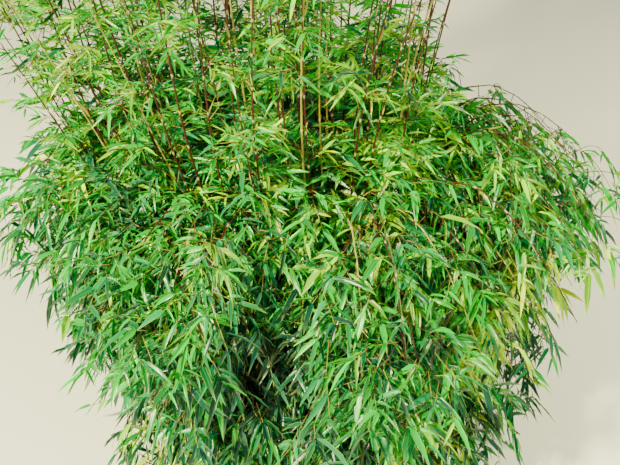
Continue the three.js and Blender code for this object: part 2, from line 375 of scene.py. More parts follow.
# %% Roof over the skirt
ROOF_FRONT = 0.62
ROOF_BACK = 0.74
ROOF_FULL_RADIUS = 0.3
ROOF_STRAY = 0.1
DOME = 0.16
DOME_RADIUS = 0.36
RIGHT_SLOPE = 2.0
SLOPE_FROM = 0.3
LARGEST_DROP = 0.19


def roof_over(points):
    """Height: the mean of front and back, less half their difference x frontness, plus a cone over
    the middle, less a drop at the right that grows with the square."""
    from_axis = off_axis(points)
    frontness = -points[..., 1] / np.maximum(from_axis, ROOF_FULL_RADIUS)
    dome = DOME * np.clip(1 - from_axis / DOME_RADIUS, 0, 1)
    rightness = np.clip(points[..., 0] / SLOPE_FROM, 0, 1)
    past = np.maximum(from_axis - SLOPE_FROM, 0)
    drop = rightness * np.minimum(RIGHT_SLOPE * past**2, LARGEST_DROP)
    return (ROOF_FRONT + ROOF_BACK) / 2 - (ROOF_BACK - ROOF_FRONT) / 2 * frontness + dome - drop


def under_roof(points, hangs, seed):
    """True for all that isn't the skirt's, and for the skirt's own points below its top."""
    return (hangs < 0.5) | (points[..., 2] < roof_over(points) + astray(ROOF_STRAY, seed, 13))


# %% [markdown]
# ## A leafy shell
# No light reaches the skirt's inside, so the real plant drops its leaves there. Twigs are kept
# near the skirt's top and its side, and only one in eight deep inside.

# %% Shell of the skirt
EDGE_HEIGHTS = (0.05, 0.15, 0.24, 0.33, 0.45, 0.6, 0.75, 0.98, 1.2, 1.45, 1.9)
EDGE_RADII = (0.57, 0.56, 0.47, 0.51, 0.65, 0.68, 0.5, 0.5, 0.62, 0.67, 0.76)
SHELL_DEPTH = 0.15
SKIRT_RADII = (0.0, 0.3, 0.45, 0.58, 0.68)
SKIRT_TOPS = (0.84, 0.71, 0.61, 0.45, 0.2)
KEPT_INSIDE = 0.125


def in_shell(points, seed):
    """True where the smaller depth, under the top or within the edge, is less than the shell's."""
    from_axis = off_axis(points)
    below_top = np.interp(from_axis, SKIRT_RADII, SKIRT_TOPS) - points[:, 2]
    inside_edge = np.interp(points[:, 2], EDGE_HEIGHTS, EDGE_RADII) - from_axis
    depth = np.minimum(below_top, inside_edge)
    return (depth < SHELL_DEPTH * varied(0.7, 0.8, seed, 14)) | (chance(seed, 15) < KEPT_INSIDE)


# %% [markdown]
# ## The cleft
# Two falls of the skirt part in a dark cleft. A sharp hole would look cut, so the cleft is a soft
# cloud in which most twigs are left out, and the rest are dealt deeper greens as painted shade.

# %% Cleft
CLEFT_X = -0.06
CLEFT_HALF = 0.09
CLEFT_HEIGHT = 0.4
CLEFT_Y = -0.55
CLEFT_SLOPE = 0.75
CLEFT_RISE = 0.1
CLEFT_BACK = -0.2
CLEFT_THINNING = 0.83


def in_cleft(points):
    """From 0 to 1: a bell in x times a bell about a plane that slopes down into the clump."""
    across = np.exp(-((points[:, 0] - CLEFT_X) / CLEFT_HALF) ** 2)
    plane = CLEFT_HEIGHT - CLEFT_SLOPE * (points[:, 1] - CLEFT_Y)
    along = np.exp(-((points[:, 2] - plane) / CLEFT_RISE) ** 2)
    return across * along * (points[:, 1] < CLEFT_BACK)


def beside_cleft(points, seed):
    """True but for most points in the cleft."""
    return chance(seed, 16) > CLEFT_THINNING * in_cleft(points)


# %% [markdown]
# ## The outline of the clump
# The clump is wide at the skirt, has a waist above it and widens again to the crown, which leans
# to the left. So the outline is a radius and a middle for each height, with two narrow lobes where
# the skirt reaches further, in front and at the right.

# %% Outline
EDGE_MIDDLES = (0.05, 0.05, 0.03, 0.0, 0.0, -0.02, -0.2, -0.27, -0.17, -0.08, -0.04)
FRONT_REACH = 0.22
FRONT_NARROWNESS = 6
FRONT_REACH_BELOW = 0.5
RIGHT_REACH = 0.12
RIGHT_NARROWNESS = 16
RIGHT_REACH_ABOVE = 0.36


def in_outline(points, seed, margin=0.0):
    """True nearer the middle than the outline at that height, give or take. A lobe is its reach x
    the cosine to its side, to the power of its narrowness."""
    height = points[:, 2]
    middle = np.interp(height, EDGE_HEIGHTS, EDGE_MIDDLES)
    from_middle = np.hypot(points[:, 0] - middle, points[:, 1])
    frontward = np.clip(-points[:, 1] / from_middle, 0, 1)
    rightward = np.clip(points[:, 0] / from_middle, 0, 1)
    edge = np.interp(height, EDGE_HEIGHTS, EDGE_RADII) + margin
    edge += FRONT_REACH * frontward**FRONT_NARROWNESS * (height < FRONT_REACH_BELOW)
    edge += RIGHT_REACH * rightward**RIGHT_NARROWNESS * (height > RIGHT_REACH_ABOVE)
    return from_middle < edge * varied(0.86, 0.24, seed, 12)


# %% [markdown]
# ## Branches
# A node of this bamboo carries two or three branches of a hand's length, so they are spaced
# closer than the nodes. Their direction is the source's: square off the cane, turned about it,
# leant forward and lifted. Tall canes are nearly bare between the skirt and the crown, most of all
# in front. Arching canes let their branches hang.

# %% Branches of every cane
BRANCHES = {
    "tall": {"from": 0.12, "spacing": 0.056, "length": 0.2,
             "lean": 0.45, "rise": 0.5, "droop": 0.45},
    "arching": {"from": 0.2, "spacing": 0.0206, "length": 0.155,
                "lean": 0.45, "rise": 0.18, "droop": 0.55},
}
SHOOT_SIDE = np.array([0.0, 1.0, 0.2])
BRANCH_ENDS = 0.6
BRANCH_MIDDLE = 0.5
TIP_FORWARD = 2
SKIRT_MARGIN = 0.02
SKIRT_LENGTH = 0.5
OPEN_FROM_Y = (-0.15, 0.1)
OPEN_BELOW = (1.06, 0.82)
OPEN_LENGTH = (0.26, 0.68)
OPEN_BRANCHES = (0.3, 0.9)
FULL_ABOVE = 1.45


def front_to_back(sizes, points):
    """The first size in front, the second behind the middle, and a slope between."""
    return np.interp(points[:, 1], OPEN_FROM_Y, sizes)


def branches_of(cane, number):
    """Branches at the cane's nodes: node x golden angle + cane number, leant and lifted. The last
    one carries the cane's own tip on."""
    style = BRANCHES[cane["kind"]]
    count = int(step_lengths(cane["line"]).sum() * (1 - style["from"]) / style["spacing"])
    node = np.arange(count)
    share = style["from"] + (1 - style["from"]) * (node + 0.5) / count
    share[-1] = 1
    root, tangent = walk(cane["line"], share)
    seed = 100.0 * (number + 1) + node
    side = unit(np.cross(tangent, SHOOT_SIDE))
    turn = (node * GOLDEN_ANGLE + number)[:, None]
    direction = side * np.cos(turn) + np.cross(tangent, side) * np.sin(turn)
    direction[-1] = tangent[-1] * TIP_FORWARD
    direction += tangent * style["lean"] + UP * style["rise"]
    swell = BRANCH_ENDS + BRANCH_MIDDLE * np.sin(math.pi * share)
    length = style["length"] * swell * varied(0.7, 0.6, seed, 10)
    grown = np.ones(count, bool)
    if cane["kind"] == "tall":
        in_skirt = root[:, 2] < roof_over(root) - SKIRT_MARGIN
        opening = front_to_back(OPEN_BELOW, root)
        crown = np.clip((root[:, 2] - opening) / (FULL_ABOVE - opening), 0, 1)
        open_length = front_to_back(OPEN_LENGTH, root)
        open_share = front_to_back(OPEN_BRANCHES, root)
        length *= np.where(in_skirt, SKIRT_LENGTH, open_length + (1 - open_length) * crown)
        grown = in_skirt | (chance(seed, 11) < open_share + (1 - open_share) * crown)
    made = {
        "root": root, "direction": unit(direction), "length": length,
        "droop": np.full(count, style["droop"]), "seed": seed,
        "hangs": np.full(count, float(cane["kind"] == "arching")),
    }
    return chosen(made, grown)


branches = gathered([branches_of(cane, number) for number, cane in enumerate(canes)])
branches = chosen(branches, has_room(shoot_points(branches, np.array([0.5, 1.0]))).all(axis=1))
ends = shoot_ends(branches)
branches = chosen(branches, in_outline(ends, branches["seed"])
                  & under_roof(ends, branches["hangs"], branches["seed"]))
print("branches:", len(branches["seed"]))

# %% [markdown]
# ## Twigs
# A branch carries finer twigs in two rows, and its own end is one more. They spread in a fan that
# lies about level, so the foliage looks layered. One function makes the side shoots of any table
# of shoots, and serves for the leaves too.

# %% Side shoots, and the twigs
SEED_STRETCH = 7.3
SEED_STEP = 13.7
OFF_PLUMB = 1e-4
SHORTEST = 0.62
LENGTH_SPREAD = 0.8
LONG_EXTRA = 0.5
LONG_ABOVE = 0.95


def side_shoots(parents, t, row, forward, lift, length, droop, wander):
    """Direction: forward x tangent + row x sideways + lift x up, with chance in the last two."""
    along = shoot_tangents(parents, t)
    across = unit(np.cross(along, UP + OFF_PLUMB))
    seed = parents["seed"][:, None] * SEED_STRETCH + SEED_STEP * (np.arange(len(t)) + 1)
    sideways = np.asarray(row)[None, :, None] + astray(wander, seed, 21)[..., None]
    direction = along * forward + across * sideways
    direction += UP * (lift + astray(wander, seed, 22)[..., None])
    longer = LENGTH_SPREAD * chance(seed, 23) ** 2 + LONG_EXTRA * (chance(seed, 25) > LONG_ABOVE)
    made = {
        "root": shoot_points(parents, t), "direction": unit(direction),
        "length": length * (SHORTEST + longer), "droop": droop * varied(0.6, 0.8, seed, 24),
        "seed": seed, "hangs": np.repeat(parents["hangs"][:, None], len(t), axis=1),
    }
    return {key: values.reshape(-1, *values.shape[2:]) for key, values in made.items()}


TWIG_PLACES = np.array([0.22, 0.38, 0.52, 0.65, 0.78, 0.9, 1.0])
TWIG_ROWS = (0.9, -0.9, 0.85, -0.8, 0.75, -0.65, 0.0)

twigs = side_shoots(branches, TWIG_PLACES, TWIG_ROWS,
                    forward=0.7, lift=0.12, length=0.045, droop=0.2, wander=1.0)
ends = shoot_ends(twigs)
number = twigs["seed"]
twigs = chosen(twigs, has_room(ends) & under_roof(ends, twigs["hangs"], number) & in_shell(ends, number)
               & beside_cleft(ends, number) & in_outline(ends, number, margin=0.03))
print("twigs:", len(twigs["seed"]))

# %% [markdown]
# ## Leaves as shoots
# A twig ends in a fan of six leaves, the first almost straight on. A leaf is placed like any side
# shoot, and sags under its own weight, more on the skirt. Those of the open middle are shortest.

# %% Places of the leaves
LEAF_PLACES = np.array([1.0, 0.95, 0.85, 0.7, 0.53, 0.34])
LEAF_ROWS = (0.1, 0.85, -0.9, 1.0, -1.0, 1.1)
LEAF_LIFT = 0.06
HANGING_LIFT = 0.2
LEAF_DROOP = 0.15
HANGING_DROOP = 0.2
LENGTH_HEIGHTS = (0.45, 0.6, 0.9, 1.05, 1.25)
LENGTH_FACTORS = (1.0, 0.88, 0.73, 0.78, 1.15)

leaves = side_shoots(twigs, LEAF_PLACES, LEAF_ROWS, forward=0.8,
                     lift=LEAF_LIFT - HANGING_LIFT * twigs["hangs"][:, None, None], length=0.047,
                     droop=LEAF_DROOP + HANGING_DROOP * twigs["hangs"][:, None], wander=1.25)
leaves["twig"] = np.repeat(twigs["seed"], len(LEAF_PLACES))
leaves["length"] *= np.interp(leaves["root"][:, 2], LENGTH_HEIGHTS, LENGTH_FACTORS)
leaves = chosen(leaves, has_room(shoot_points(leaves, np.array([0.6, 1.0]))).all(axis=1))
print("leaves:", len(leaves["seed"]))

# %% [markdown]
# ## From arrays to a piece
# Hundreds of thousands of points go into a mesh at once with foreach_set. Every piece passes
# through one function, which also seats it on the body and hides the solids it stands for.

# %% Mesh maker
def put_in_scene(name, data):
    """A new object that shows a mesh, a lamp or a camera."""
    made = bpy.data.objects.new(name, data)
    bpy.context.scene.collection.objects.link(made)
    return made


def make_piece(name, points, faces, finish, stands_for, uv=None, shade=None):
    """A mesh of triangles at the origin, riding on the plant's one body."""
    mesh = bpy.data.meshes.new(name)
    mesh.vertices.add(len(points))
    mesh.vertices.foreach_set("co", np.ascontiguousarray(points, np.float32).ravel())
    mesh.loops.add(faces.size)
    mesh.loops.foreach_set("vertex_index", np.ascontiguousarray(faces, np.int32).ravel())
    mesh.polygons.add(len(faces))
    mesh.polygons.foreach_set("loop_start", np.arange(0, faces.size, 3, dtype=np.int32))
    mesh.update(calc_edges=True)
    mesh.shade_smooth()
    if uv is not None:
        layer = mesh.uv_layers.new(name="along_leaf")
        layer.uv.foreach_set("vector", np.ascontiguousarray(uv[faces.ravel()], np.float32).ravel())
    if shade is not None:
        tones = mesh.attributes.new("shade", "FLOAT", "POINT")
        tones.data.foreach_set("value", np.ascontiguousarray(shade, np.float32))
    mesh.materials.append(finish)
    piece = put_in_scene(name, mesh)
    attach(piece, "root")
    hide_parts(*stands_for)
    print(name, "triangles:", len(faces))


# %% [markdown]
# ## Writing finishes as sums
# A finish is a small formula over the surface. Wiring nodes by hand hides it, so one class wraps a
# socket, which is then added and multiplied like a number, and another holds the material.

# %% Wires
class Wire:
    """One output of a node, written into sums; each operator adds a Math node."""

    def __init__(self, finish, socket):
        self.finish = finish
        self.socket = socket

    def __add__(self, other):
        return self.finish.math("ADD", self, other)

    def __sub__(self, other):
        return self.finish.math("SUBTRACT", self, other)

    def __rsub__(self, other):
        return self.finish.math("SUBTRACT", other, self)

    def __mul__(self, other):
        return self.finish.math("MULTIPLY", self, other)

    __radd__ = __add__
    __rmul__ = __mul__


# %% Finishes
class Finish:
    """A material: node() adds any node to it, and the other methods the usual ones."""

    def __init__(self, name):
        self.material = bpy.data.materials.new(name)
        self.material.use_nodes = True
        self.tree = self.material.node_tree
        self.tree.nodes.clear()

    def node(self, kind, settings=None, sockets=None, output=0):
        """Adds a node: its settings first, then the values or wires of its sockets."""
        made = self.tree.nodes.new(kind)
        for key, value in (settings or {}).items():
            setattr(made, key, value)
        for key, value in (sockets or {}).items():
            if isinstance(value, Wire):
                self.tree.links.new(value.socket, made.inputs[key])
            else:
                made.inputs[key].default_value = value
        return Wire(self, made.outputs[output])

    def math(self, operation, *values):
        """A Math node of that operation on values or wires."""
        return self.node("ShaderNodeMath", {"operation": operation}, dict(enumerate(values)))

    def place(self):
        """Where a point is, in metres."""
        return self.node("ShaderNodeTexCoord", output="Object")

    def axis(self, vector, name):
        """One of the three parts of a vector."""
        return self.node("ShaderNodeSeparateXYZ", sockets={"Vector": vector}, output=name)

    def shade(self):
        """The number that the mesh carries at each point, from 0 to 1."""
        return self.node("ShaderNodeAttribute", {"attribute_name": "shade"}, output="Fac")

    def noise(self, scale, detail=3.0):
        """Soft noise from 0 to 1, so many blotches to the metre."""
        sockets = {"Vector": self.place(), "Scale": scale, "Detail": detail}
        return self.node("ShaderNodeTexNoise", sockets=sockets)

    def graded(self, value, start, end, low=0.0, high=1.0):
        """From low to high as the value goes from start to end, and level beyond them."""
        sockets = {"Value": value, "From Min": start, "From Max": end, "To Min": low, "To Max": high}
        return self.node("ShaderNodeMapRange", {"clamp": True}, sockets)

    def mixed(self, factor, first, second):
        """A colour between two colours."""
        return self.node("ShaderNodeMix", {"data_type": "RGBA"}, {0: factor, 6: first, 7: second}, 2)

    def bumped(self, height, strength, distance):
        """The surface raised by the height, at most the distance in metres."""
        sockets = {"Strength": strength, "Distance": distance, "Height": height}
        return self.node("ShaderNodeBump", sockets=sockets)

    def skin(self, colour, roughness, bump=None, mirroring=0.5):
        """The main shader; mirroring says how strongly it reflects."""
        sockets = {"Base Color": colour, "Roughness": roughness, "Specular IOR Level": mirroring}
        if bump is not None:
            sockets["Normal"] = bump
        return self.node("ShaderNodeBsdfPrincipled", sockets=sockets)

    def end(self, shader):
        """Joins the last shader to the material's surface."""
        output = self.tree.nodes.new("ShaderNodeOutputMaterial")
        self.tree.links.new(shader.socket, output.inputs["Surface"])
        return self.material


def opaque(colour):
    """A colour of three numbers with full opacity."""
    return (*colour, 1.0)


# %% [markdown]
# ## The finish of a leaf
# A bamboo leaf is thin and a little glossy. Light from above shines off it, and light from behind
# glows through it yellow-green, so a leaf mixes a gloss shader with a translucent one. A paler rib
# runs up its middle, a thin pale margin follows its edges, and its tip is a touch yellow, all read
# off its own UV map. Rib and margin are paler than the real tissue: the extra is a painted
# highlight, thin bright streaks that stand in for glints. Each leaf has a shade of its own from an
# attribute. The base colours are deep, because strong light makes them paler.

# %% Leaf finish
LEAF_COLOURS = {
    "leaf_deep": (0.004, 0.058, 0.04),
    "leaf_mid": (0.001, 0.155, 0.05),
    "leaf_bright": (0.006, 0.29, 0.02),
    "leaf_light": (0.19, 0.46, 0.003),
    "leaf_yellow": (0.47, 0.62, 0.003),
}
DARKEST_LEAF = 0.3
PALEST_LEAF = 1.65
# Rib tint and margin colour: paler real tissue, brightened further as painted highlight streaks.
RIB_AND_STREAK_TINT = (1.9, 1.5, 2.0)
MARGIN_AND_GLINT_COLOUR = (0.4, 0.7, 0.08)
TIP_COLOUR = (0.42, 0.42, 0.06)
TIP_SHARPNESS = 7.0
VEIN_PITCH = 75.0
GLOW_TINT = (1.2, 1.4, 0.6)
TRANSLUCENT_SHARE = 0.27


def leaf_finish(slot):
    """Colour = base, shaded by leaf, paler on the rib and the margin, yellower at the tip."""
    leaf = Finish(slot)
    base = np.array(LEAF_COLOURS[slot])
    uv = leaf.node("ShaderNodeUVMap", {"uv_map": "along_leaf"})
    across = leaf.axis(uv, "X")
    from_rib = leaf.math("ABSOLUTE", across - 0.5)
    # Painted highlight: the pale rib and margin also stand in for thin glints along the leaf.
    rib = leaf.graded(from_rib, start=0.0, end=0.09, low=0.55, high=0.0)
    margin = leaf.graded(from_rib, start=0.42, end=0.5, high=0.6)
    tip = leaf.math("POWER", leaf.axis(uv, "Y"), TIP_SHARPNESS) * 0.5
    body = leaf.mixed(leaf.shade(), opaque(base * DARKEST_LEAF), opaque(base * PALEST_LEAF))
    ribbed = leaf.mixed(rib, body, opaque(base * RIB_AND_STREAK_TINT))
    edged = leaf.mixed(margin, ribbed, opaque(MARGIN_AND_GLINT_COLOUR))
    colour = leaf.mixed(tip, edged, opaque(TIP_COLOUR))
    veins = leaf.bumped(leaf.math("SINE", across * VEIN_PITCH), strength=0.15, distance=0.0004)
    gloss = leaf.skin(colour, 0.12 + leaf.noise(30.0) * 0.2, veins, mirroring=0.45)
    glow_colour = opaque(np.minimum(base * GLOW_TINT, 1))
    glow = leaf.node("ShaderNodeBsdfTranslucent", sockets={"Color": glow_colour})
    both = leaf.node("ShaderNodeMixShader", sockets={0: TRANSLUCENT_SHARE, 1: gloss, 2: glow})
    return leaf.end(both)


# %% [markdown]
# ## The leaf blade
# The blade is a lance: round at its base, widest in its lower half, and drawn out to a point. It
# folds a little along its rib, bends down and twists. A flat card would show none of the glints.
# Six triangles are enough: they join a point on the rib to the base, the tip and two points on
# each edge. The leaves of the open middle are slimmer than the others.

# %% Leaf blades from the table of leaves
STATIONS = np.array([0.0, 0.17, 0.17, 0.38, 0.57, 0.57, 1.0])
SIDES = np.array([0.0, 1.0, -1.0, 0.0, 1.0, -1.0, 0.0])
HALF_WIDTHS = np.array([0.0, 0.46, 0.46, 0.0, 0.44, 0.44, 0.0])
BLADE_FACES = np.array([[0, 3, 1], [1, 3, 4], [4, 3, 6], [6, 3, 5], [5, 3, 2], [2, 3, 0]])
BLADE_UV = np.stack([0.5 + 0.5 * SIDES, STATIONS], axis=1)
BLADE_POINTS = len(STATIONS)
WIDTH_SHARE = 0.182
SLIM_HEIGHTS = (0.6, 0.72, 1.0, 1.15)
SLIMNESS = (1.0, 0.8, 0.8, 1.0)


def blades(shoots, width_share, fold, roll, twist):
    """Rib: the shoot's own sagging line. Edges: rib + side x half width + up x fold x half width,
    where side turns about the rib by roll + twist x t."""
    seed = shoots["seed"]
    rib = shoot_points(shoots, STATIONS)
    along = shoot_tangents(shoots, STATIONS)
    level = unit(np.cross(UP, along + 0.1 * OFF_PLUMB))
    raised = np.cross(along, level)
    turn = (astray(roll, seed, 41)[:, None] + astray(twist, seed, 42)[:, None] * STATIONS)[..., None]
    side = level * np.cos(turn) + raised * np.sin(turn)
    above = raised * np.cos(turn) - level * np.sin(turn)
    width = shoots["length"] * width_share * varied(0.85, 0.3, seed, 43)
    half = (width[:, None] * HALF_WIDTHS)[..., None]
    lift = above * half * (fold * varied(0.4, 1.2, seed, 44))[:, None, None]
    points = rib + side * half * SIDES[:, None] + lift
    faces = BLADE_FACES[None] + BLADE_POINTS * np.arange(len(seed))[:, None, None]
    return points.reshape(-1, 3), faces.reshape(-1, 3)


# %% [markdown]
# ## Dealing out the greens
# On the real plant a whole spray is one green: older sprays inside are deep, young ones outside
# are light, and a few in the front are yellow. A pattern over the joined mesh would muddle that,
# so each spray goes nearly whole to one of five plain greens. Its place in the deal is a sum of
# chance, of how far out it grows, of painted shade low down and in the cleft, of painted light
# near the skirt's top, and of a few spots. Such a spot is a bell about a middle, and lifts a share
# of the sprays in it: three hold young leaves, and one is a pool of painted light under the canes.

# %% Place of each leaf in the deal
SPRAY_CHANCE = 0.42
LEAF_CHANCE = 0.22
OUTWARD_LIFT = 0.3
RIGHTWARD_LIFT = 0.12
ODD_LIFT = 0.6
CLEFT_PAINTED_SHADE = 0.4
SKIRT_MIDDLE_X = -0.05
SKIRT_RADIUS = 0.75
# Painted shade and light by height: low sprays go to deeper greens as shade, those near the skirt's top
# to lighter greens as light.
DEAL_HEIGHTS = (0.05, 0.3, 0.5, 0.7, 0.95, 1.15)
HEIGHT_SHADE_AND_LIGHT = (-0.45, -0.26, 0.0, 0.18, 0.27, 0.08)
YOUNG_AND_LIT_SPOTS = (  # middle, size, lift and share of the sprays
    ((0.42, -0.36, 0.36), (0.13, 0.22, 0.14), 0.64, 0.45),
    ((0.29, -0.45, 0.24), (0.15, 0.22, 0.1), 0.85, 0.36),
    ((-0.24, -0.45, 0.17), (0.15, 0.22, 0.09), 0.85, 0.3),
    # Painted light: this last spot lifts the greens in the shaded dip between the skirt's top and the
    # canes.
    ((0.15, -0.18, 0.68), (0.16, 0.2, 0.13), 0.24, 0.8),
)
roots = leaves["root"]


def some_sprays(share, draw):
    """True for the leaves of that share of the sprays."""
    return chance(leaves["twig"], draw) > 1 - share


outward = np.clip(np.hypot(roots[:, 0] - SKIRT_MIDDLE_X, roots[:, 1]) / SKIRT_RADIUS, 0, 1)
rightward = np.clip(roots[:, 0] * 2 - roots[:, 1] - 0.3, 0, 1)
deal = SPRAY_CHANCE * chance(leaves["twig"], 51) + LEAF_CHANCE * chance(leaves["seed"], 52)
deal += OUTWARD_LIFT * outward + RIGHTWARD_LIFT * rightward * some_sprays(0.2, 53)
# Painted shade low down and painted light near the top of the skirt.
deal += np.interp(roots[:, 2], DEAL_HEIGHTS, HEIGHT_SHADE_AND_LIGHT) * ~some_sprays(0.2, 56)
deal += ODD_LIFT * some_sprays(0.015, 54)
# Painted shade: sprays in the cleft go to deeper greens.
deal -= CLEFT_PAINTED_SHADE * in_cleft(roots)
for middle, size, lift, share in YOUNG_AND_LIT_SPOTS:
    away = (roots - middle) / np.array(size)
    deal += lift * np.exp(-(away**2).sum(axis=1)) * some_sprays(share, 57)

# %% Five greens
GREENS = (("deep", 0.392), ("mid", 0.57), ("bright", 0.765), ("light", 0.975), ("yellow", 2.0))

own_canes = [cane["owner"] for cane in canes if cane["owner"]]
lowest = -1.0
for order, (green, highest) in enumerate(GREENS):
    slot = f"leaf_{green}"
    mine = chosen(leaves, (deal >= lowest) & (deal < highest))
    stood = [f"leaves_{owner}" for owner in own_canes[order::len(GREENS)]]
    slim = WIDTH_SHARE * np.interp(mine["root"][:, 2], SLIM_HEIGHTS, SLIMNESS)
    points, faces = blades(mine, slim, fold=0.5, roll=2.4, twist=1.4)
    uv = np.tile(BLADE_UV, (len(mine["seed"]), 1))
    shade = np.repeat(chance(mine["seed"], 55), BLADE_POINTS)
    make_piece(f"leaves_{green}", points, faces, leaf_finish(slot), stood, uv, shade)
    lowest = highest

# %% [markdown]
# ## Round bars along many lines
# Canes, branches and twigs are all thin round bars. A bar is a ring of points carried along a
# line. Each ring is square to the line, and a fan closes each end. The lines come as one array,
# so thousands of twigs are one sum.

# %% Bars
def bar_faces(rings, sides):
    """Two triangles for each square of the skin, and a fan over each end."""
    ring, spoke = (grid.ravel() for grid in np.meshgrid(np.arange(rings - 1), np.arange(sides)))
    here = ring * sides + spoke
    beside = ring * sides + (spoke + 1) % sides
    skin = np.stack([here, beside, beside + sides, here, beside + sides, here + sides], axis=-1)
    spokes = np.arange(sides)
    following = (spokes + 1) % sides
    last = (rings - 1) * sides
    foot = np.stack([following, spokes, np.full(sides, rings * sides)], axis=-1)
    tip = np.stack([last + spokes, last + following, np.full(sides, rings * sides + 1)], axis=-1)
    return np.concatenate([skin.reshape(-1, 3), foot, tip])


def bars(lines, tangents, radii, side, sides):
    """Rings: line + radius x (side x cosine + (tangent x side) x sine), for each of many lines."""
    count, rings = radii.shape
    normal = unit(side[:, None] - (side[:, None] * tangents).sum(-1, keepdims=True) * tangents)
    binormal = np.cross(tangents, normal)
    angle = np.arange(sides) / sides * 2 * math.pi
    spread = normal[:, :, None] * np.cos(angle)[:, None] + binormal[:, :, None] * np.sin(angle)[:, None]
    skin = lines[:, :, None] + radii[:, :, None, None] * spread
    points = np.concatenate([skin.reshape(count, -1, 3), lines[:, :1], lines[:, -1:]], axis=1)
    step = rings * sides + 2
    faces = bar_faces(rings, sides)[None] + step * np.arange(count)[:, None, None]
    return points.reshape(-1, 3), faces.reshape(-1, 3)


def joined(parts):
    """Several point and face arrays as one pair."""
    sizes = np.cumsum([0] + [len(points) for points, _ in parts])
    faces = [face + start for (_, face), start in zip(parts, sizes)]
    return np.concatenate([points for points, _ in parts]), np.concatenate(faces)


# %% [markdown]
# ## The finish of cane and twig
# Cane is smooth and hard, with a faint bloom. Most of these have turned purple-red, and others
# are straw yellow or olive. The fine streaks along them are noise stretched upwards. A powdery
# pale ring sits at each node, and the mesh carries it as an attribute.

# %% Cane finish
CANE_COLOURS = {"red": (0.034, 0.003, 0.002), "gold": (0.24, 0.22, 0.035), "olive": (0.04, 0.055, 0.012)}
STREAK_PITCHES = (900.0, 900.0, 24.0)
POWDER_COLOUR = (0.5, 0.42, 0.24)


def cane_finish(tone):
    """Base colour streaked lengthwise, blotched pale with bloom, and powdery pale at the nodes."""
    cane = Finish(f"cane_{tone}")
    base = np.array(CANE_COLOURS[tone])
    stretched = cane.node("ShaderNodeMapping", sockets={"Vector": cane.place(), "Scale": STREAK_PITCHES})
    streaks = cane.node("ShaderNodeTexNoise", sockets={"Vector": stretched, "Scale": 1.0, "Detail": 3.0})
    bloom = cane.graded(cane.noise(28.0), start=0.6, end=0.85, high=0.04)
    body = cane.mixed(streaks, opaque(base * 0.5), opaque(base * 1.5))
    colour = cane.mixed(bloom + cane.shade() * 0.8, body, opaque(POWDER_COLOUR))
    bump = cane.bumped(streaks, strength=0.2, distance=0.0004)
    return cane.end(cane.skin(colour, 0.32 + cane.noise(60.0) * 0.25, bump, mirroring=0.3))


cane_finishes = {tone: cane_finish(tone) for tone in CANE_COLOURS}

# %% [markdown]
# ## Canes with nodes
# A bamboo cane is a string of hollow lengths. At each node it has a thin ridge where the sheath
# sat, a narrow waist, and a swelling above it. The radius is therefore a function of the place
# along the cane: an even taper times the relief of the nearest node. The rings stand close at the
# nodes only.

# %% Canes
INTERNODE = 0.076
NODE_OFFSETS = np.array([-0.008, -0.0022, 0.0, 0.002, 0.0052, 0.011])
NODE_RELIEF = np.array([1.0, 1.07, 1.3, 1.02, 1.16, 1.0])
NODE_POWDER = np.array([0.0, 1.0, 0.6, 0.0, 0.0, 0.0])


def cane_bar(cane):
    """Radius: an even taper x thickness x the relief of the node that the ring belongs to."""
    sides = 8 if cane["owner"] else 6
    length = step_lengths(cane["line"]).sum()
    nodes = np.arange(1, int(length / INTERNODE)) * INTERNODE
    rings = np.concatenate([[0.0], (nodes[:, None] + NODE_OFFSETS).ravel(), [length]]) / length
    swell = np.concatenate([[1.0], np.tile(NODE_RELIEF, len(nodes)), [1.0]])
    powdered = np.concatenate([[0.0], np.tile(NODE_POWDER, len(nodes)), [0.0]])
    radius = CANE_FOOT_RADIUS + (CANE_TIP_RADIUS - CANE_FOOT_RADIUS) * rings
    points, tangents = walk(cane["line"], rings)
    side = unit(np.cross(UP, points[-1] - points[0] + OFF_PLUMB))
    radii = (radius * swell * cane["thickness"])[None]
    bar = bars(points[None], tangents[None], radii, side[None], sides)
    return bar, np.concatenate([np.repeat(powdered, sides), [0.0, 0.0]])


for colour, finish in cane_finishes.items():
    mine = [cane for cane in canes if cane["colour"] == colour]
    stood = [f"cane_{cane['owner']}" for cane in mine if cane["owner"]]
    made_bars, powders = zip(*[cane_bar(cane) for cane in mine])
    points, faces = joined(made_bars)
    powder = np.concatenate(powders)
    make_piece(f"canes_{colour}", points, faces, finish, stood, shade=powder)

# %% [markdown]
# ## Branches and twigs
# Branches are wiry and red-brown, and twigs are finer still and straw yellow. Three sides are
# enough for bars a millimetre or two thick, as long as they taper and sag with their leaves.

# %% Branch and twig bars
def shoot_bars(shoots, foot, tip, rings):
    """Three-sided bars along the shoots' sagging lines, thinning evenly."""
    t = np.linspace(0, 1, rings)
    side = unit(np.cross(shoots["direction"], UP + 10 * OFF_PLUMB))
    radii = np.broadcast_to(foot + (tip - foot) * t, (len(side), rings))
    return bars(shoot_points(shoots, t), shoot_tangents(shoots, t), radii, side, 3)


leafy_solids = [f"leaves_{owner}" for owner in own_canes]
points, faces = shoot_bars(branches, foot=0.0011, tip=0.0006, rings=5)
make_piece("branches", points, faces, cane_finishes["red"], leafy_solids)
points, faces = shoot_bars(twigs, foot=0.0007, tip=0.0005, rings=2)
make_piece("twigs", points, faces, cane_finishes["gold"], leafy_solids)

# %% [markdown]
# ## Papery sheaths
# Each length of a young cane is wrapped in a sheath that dries to pale straw and stands off the
# cane at its node before it drops. Most have dropped already. They are narrow blades pointing up,
# so the leaf's own function makes them, from roots at one node in four.

# %% Sheaths
SHEATHED_ABOVE = 0.75
SHEATH_SPREAD = 0.22


